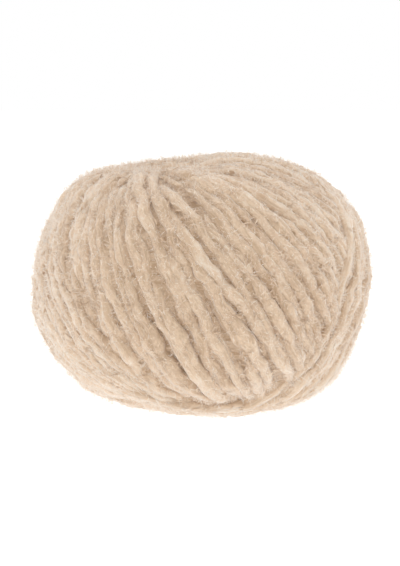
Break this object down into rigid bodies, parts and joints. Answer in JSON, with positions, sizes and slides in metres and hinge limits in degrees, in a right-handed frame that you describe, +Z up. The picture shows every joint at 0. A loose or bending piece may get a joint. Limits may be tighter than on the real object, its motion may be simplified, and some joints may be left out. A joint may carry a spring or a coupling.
{
  "type": "wound ball of knitting yarn",
  "caption": "Oblate ball of thick brushed beige yarn, wound end to end on a leaning spindle, resting on a small flat spot.",
  "frame": {"origin": "on the resting surface, under the middle of the ball's bounding box", "axes": "+X along the ball's greatest width, -Y out of the pictured side, +Z up, across the flat spot it rests on"},
  "size_m": [0.12, 0.1078, 0.0911],
  "materials": {
    "yarn": "soft brushed wool, matt with a fine halo of fibres"
  },
  "bodies": {
    "root": {"yarn_ball": "yarn"}
  },
  "joints": []
}
